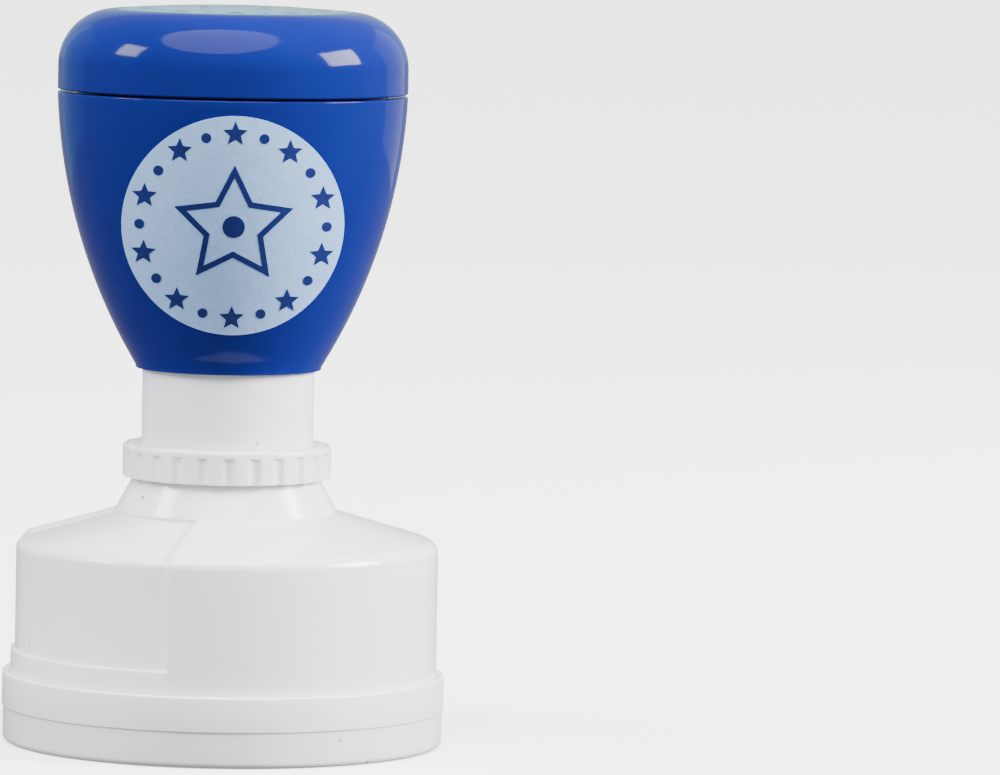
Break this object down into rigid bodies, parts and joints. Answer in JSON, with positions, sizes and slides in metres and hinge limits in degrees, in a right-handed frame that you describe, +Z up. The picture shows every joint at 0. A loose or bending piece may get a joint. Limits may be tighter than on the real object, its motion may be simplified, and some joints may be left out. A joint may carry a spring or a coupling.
{
  "type": "rubber stamp",
  "caption": "Round pre-inked hand stamp: flared white body in a dust cap, knurled depth ring on the neck, sprung blue handle with a lift-off cap, and a star die on ink foam inside.",
  "frame": {"origin": "middle of the dust cap's foot ring, on the surface that the stamp stands on", "axes": "+Z up the stamp's axis to the top of the handle, the badge on the handle faces -Y, +X to the badge's right"},
  "size_m": [0.0352, 0.0352, 0.0588],
  "materials": {
    "cap_white": "glossy moulded white",
    "body_white": "glossy moulded white",
    "ring_white": "satin moulded white",
    "inner_white": "plain moulded, hidden",
    "handle_blue": "high-gloss royal blue",
    "badge_print": "pad-printed film, slightly mottled",
    "label_paper": "printed paper",
    "lens_clear": "clear acrylic, polished",
    "steel": "bright drawn steel",
    "foam": "open-cell foam soaked with blue ink",
    "die_rubber": "porous rubber stained with blue ink"
  },
  "bodies": {
    "dust_cap": {"dust_cap": "cap_white"},
    "shell": {"outer_shell": "body_white", "return_spring": "steel"},
    "stop": {"stop_washer": "inner_white"},
    "ring": {"adjusting_ring": "ring_white"},
    "handle": {"handle_body": "handle_blue", "handle_deck": "handle_blue", "front_badge": "badge_print", "plunger_tube": "inner_white", "rod_nut": "steel", "spring_washer": "steel", "die_holder": "inner_white", "ink_foam": "foam", "stamp_die": "die_rubber", "die_frame": "inner_white"},
    "cap": {"handle_cap": "handle_blue", "index_label": "label_paper", "index_lens": "lens_clear"},
    "plug": {"refill_plug": "inner_white"}
  },
  "joints": [
    {"name": "lift_off", "type": "slide", "parent": "dust_cap", "child": "shell", "axis": [0, 0, 1], "range_m": [0, 0.03]},
    {"name": "press", "type": "slide", "parent": "shell", "child": "handle", "axis": [0, 0, -1], "range_m": [0, 0.0049], "stiffness_N_per_m": 500, "springref_m": -0.004, "deforming": ["return_spring"]},
    {"name": "ring_rise", "type": "slide", "parent": "shell", "child": "stop", "axis": [0, 0, 1], "range_m": [0, 0.001]},
    {"name": "ring_turn", "type": "hinge", "parent": "stop", "child": "ring", "pos_m": [0, 0, 0.0226], "axis": [0, 0, 1], "range_deg": [0, 450]},
    {"name": "cap_off", "type": "slide", "parent": "handle", "child": "cap", "axis": [0, 0, 1], "range_m": [0, 0.02]},
    {"name": "plug_pull", "type": "slide", "parent": "handle", "child": "plug", "axis": [0, 0, 1], "range_m": [0, 0.0033]}
  ],
  "couplings": [
    {"joint": "ring_turn", "follows": "ring_rise", "rad_per_m": 7854}
  ]
}
